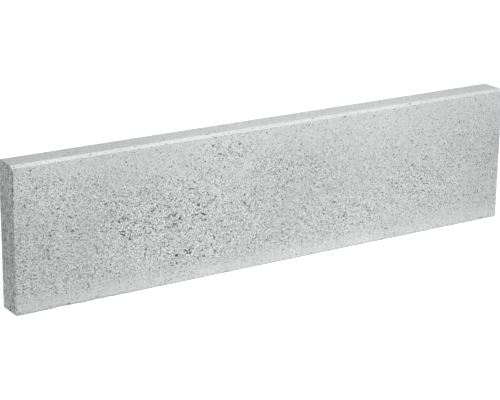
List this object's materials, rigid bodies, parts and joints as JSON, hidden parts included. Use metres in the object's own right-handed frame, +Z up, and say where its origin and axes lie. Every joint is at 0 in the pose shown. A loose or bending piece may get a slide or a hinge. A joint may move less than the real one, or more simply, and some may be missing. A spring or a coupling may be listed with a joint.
{
  "type": "concrete kerb stone",
  "caption": "Straight concrete kerb stone with flat faces and a chamfered front top edge, set upright end to end as an edging for lawns, beds and paths.",
  "frame": {"origin": "middle of the bed, the bottom face that the stone stands on", "axes": "+X along the kerb line, -Y towards the front face with the chamfered top edge, +Z up"},
  "size_m": [1, 0.05, 0.25],
  "materials": {
    "concrete": "matte light grey cast concrete with fine open pores"
  },
  "bodies": {
    "root": {"kerb_stone": "concrete"}
  },
  "joints": []
}
